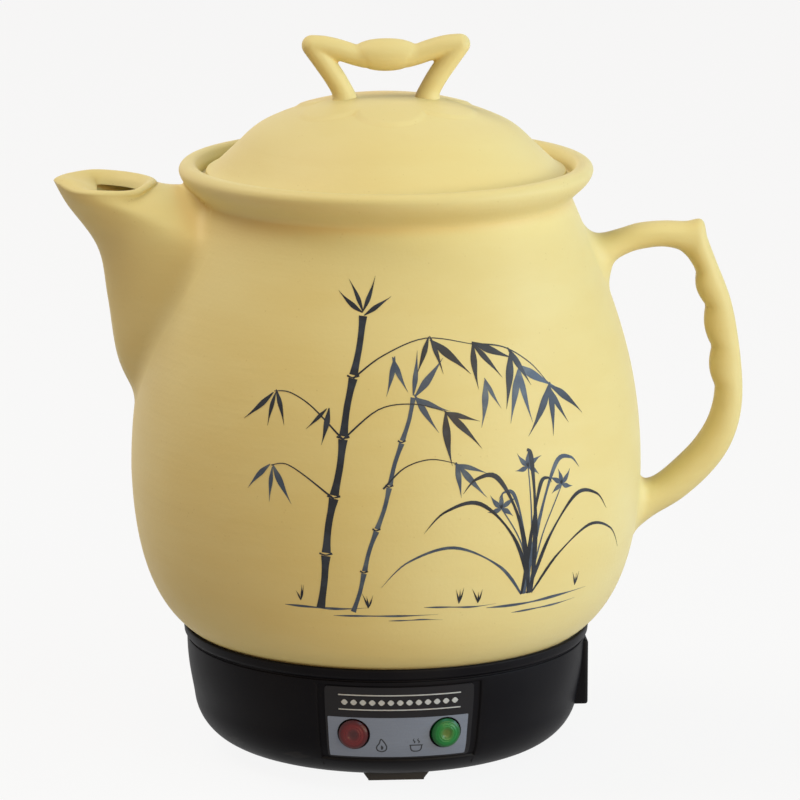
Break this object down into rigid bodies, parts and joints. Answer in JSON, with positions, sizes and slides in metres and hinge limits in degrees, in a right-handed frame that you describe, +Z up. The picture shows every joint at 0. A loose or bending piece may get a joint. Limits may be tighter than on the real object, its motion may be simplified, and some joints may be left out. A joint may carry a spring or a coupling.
{
  "type": "electric herb decoction pot",
  "caption": "Stoneware pot for decocting herbs, with a long pouring spout, a finger-grip handle and a loose domed lid, bonded to a round electric heating base with pilot lamps.",
  "frame": {"origin": "on the pot's vertical axis, in the plane that the feet's soles stand on", "axes": "+Z up along the pot's axis; -Y the front with the label and lamps; -X the spout; +X the handle and the power inlet"},
  "size_m": [0.2749, 0.204, 0.2882],
  "materials": {
    "stoneware": "smooth satin-matte mustard-cream glaze",
    "silicone": "matte",
    "base_plastic": "satin black moulding",
    "cover_plastic": "fine matte",
    "screw_steel": "zinc plated",
    "foot_rubber": "semi-gloss",
    "label_film": "metallised film with a black band",
    "red_lens": "translucent, polished",
    "green_lens": "translucent, polished",
    "lamp_nylon": "moulded",
    "socket_plastic": "moulded",
    "pin_brass": "nickel plated",
    "plate_aluminium": "cast and turned",
    "tube_steel": "annealed grey",
    "shield_aluminium": "bright sheet",
    "sheet_steel": "galvanised sheet",
    "thermostat_resin": "moulded phenolic",
    "cutout_resin": "moulded phenolic",
    "fuse_ceramic": "unglazed"
  },
  "bodies": {
    "pot": {"pot_body": "stoneware", "spout": "stoneware", "handle": "stoneware", "seal_ring": "silicone", "base_housing": "base_plastic", "bottom_cover": "cover_plastic", "cover_screws": "screw_steel", "feet": "foot_rubber", "label_plate": "label_film", "cook_lamp_lens": "red_lens", "warm_lamp_lens": "green_lens", "lamp_barrels": "lamp_nylon", "lamp_nuts": "lamp_nylon", "inlet_socket": "socket_plastic", "inlet_pins": "pin_brass", "heating_plate": "plate_aluminium", "heater_tube": "tube_steel", "heat_shield": "shield_aluminium", "heater_bracket": "sheet_steel", "bracket_screws": "screw_steel", "heater_screws": "screw_steel", "thermostat": "thermostat_resin", "overheat_cutout": "cutout_resin", "switch_clip": "sheet_steel", "thermal_fuse": "fuse_ceramic", "fuse_strap": "sheet_steel"},
    "lid": {"lid": "stoneware", "lid_loop": "stoneware"}
  },
  "joints": [
    {"name": "lid_lift", "type": "slide", "parent": "pot", "child": "lid", "axis": [0, 0, 1], "range_m": [0, 0.08]}
  ]
}
